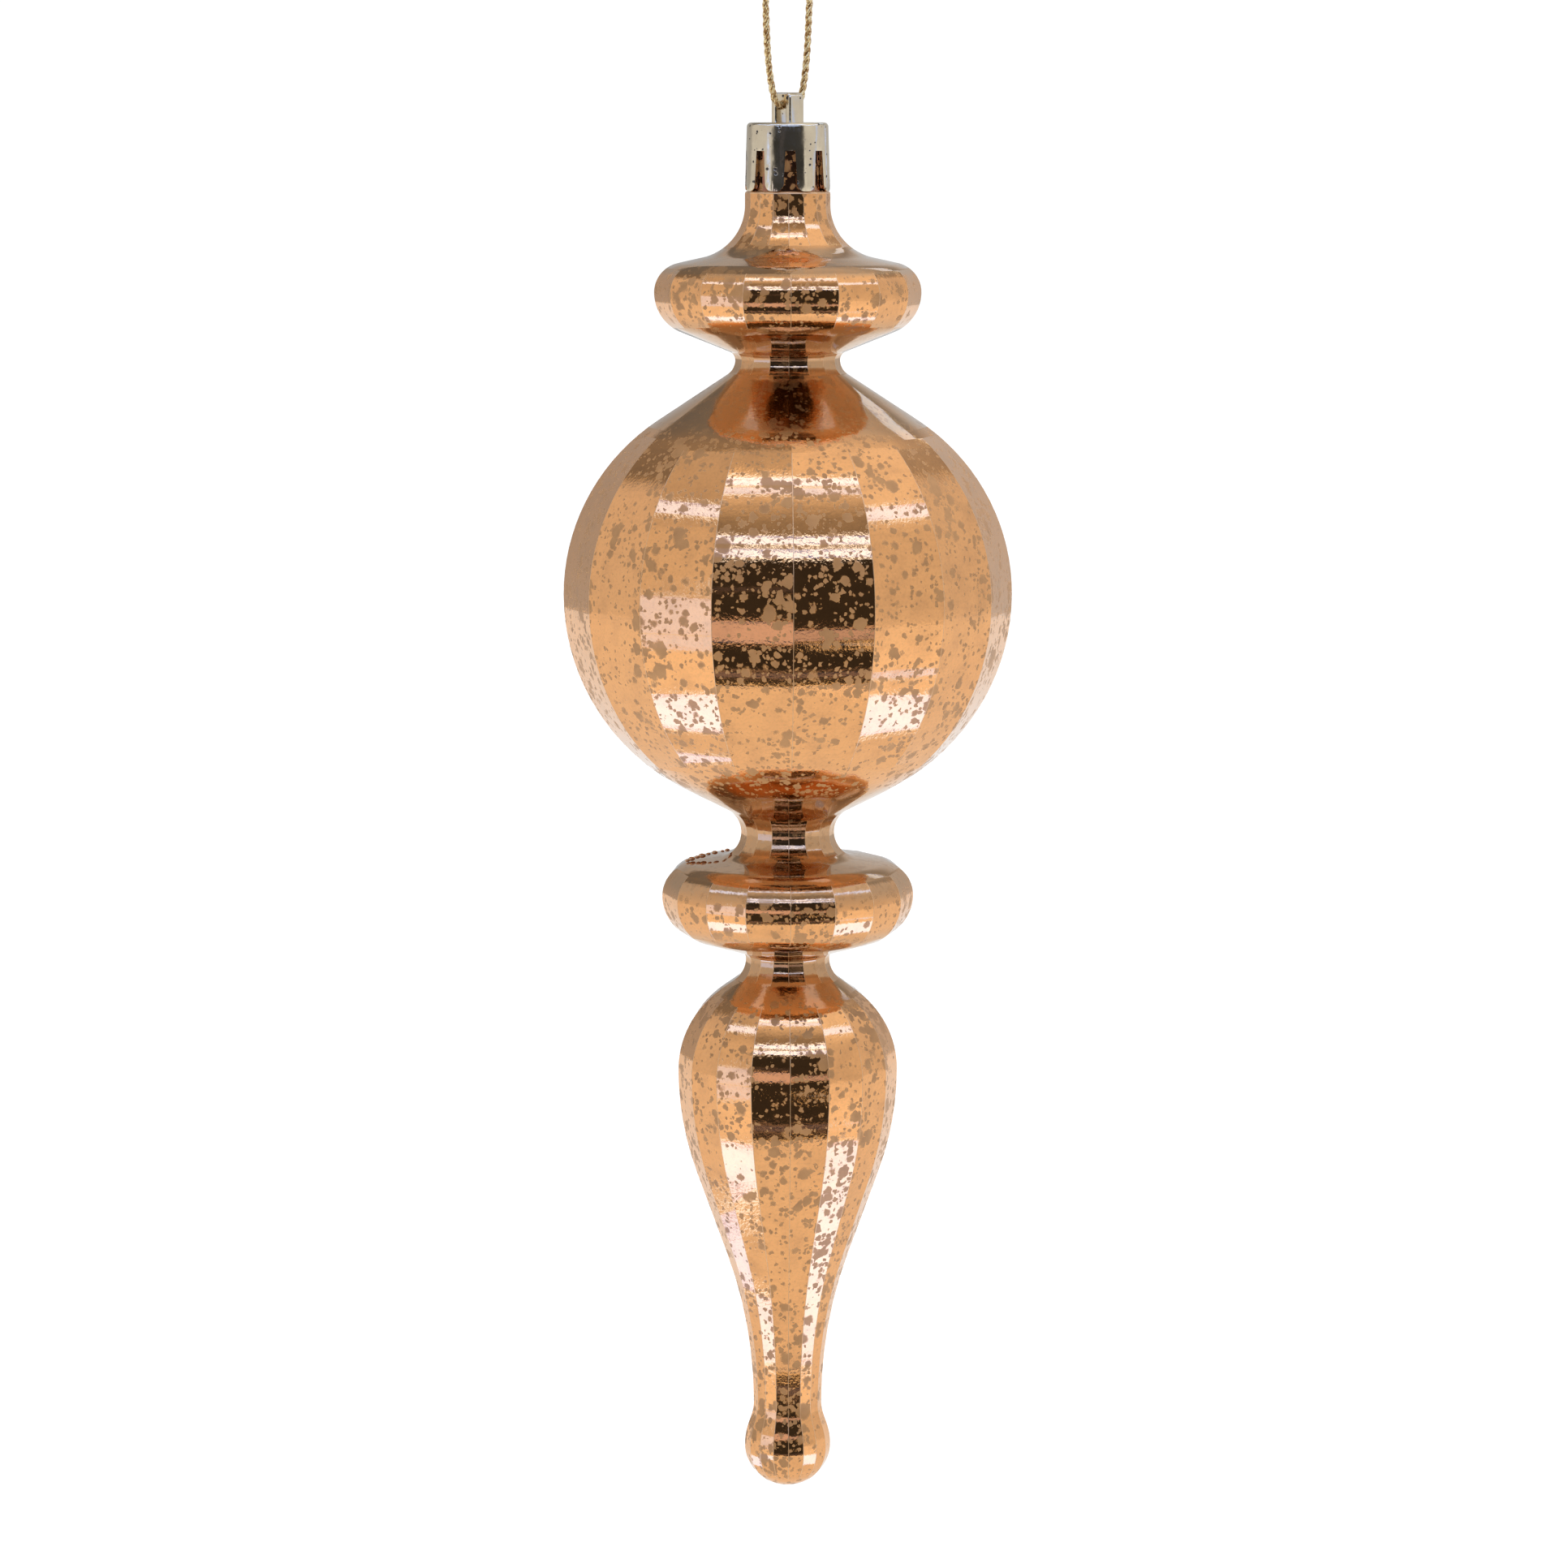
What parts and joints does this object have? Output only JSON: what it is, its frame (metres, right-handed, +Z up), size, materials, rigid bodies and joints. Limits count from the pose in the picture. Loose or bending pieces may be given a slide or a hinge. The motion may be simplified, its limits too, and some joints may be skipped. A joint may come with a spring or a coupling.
{
  "type": "finial ornament",
  "caption": "Hanging finial ornament: a faceted hollow plastic body with a copper mirror finish, a slotted silver cap with an eye, and a knotted loop of gold thread",
  "frame": {"origin": "the point inside the top of the thread loop where a hook bears", "axes": "+Z up along the ornament's long axis, towards the hook; the front, with an edge between two facets, faces -Y; +X to the right seen from the front"},
  "size_m": [0.0636, 0.0636, 0.2448],
  "materials": {
    "copper_finish": "gloss",
    "silver_cap": "gloss",
    "gold_thread": "satin"
  },
  "bodies": {
    "root": {"ornament_body": "copper_finish", "cap": "silver_cap", "hanging_thread": "gold_thread", "thread_knot": "gold_thread"}
  },
  "joints": []
}
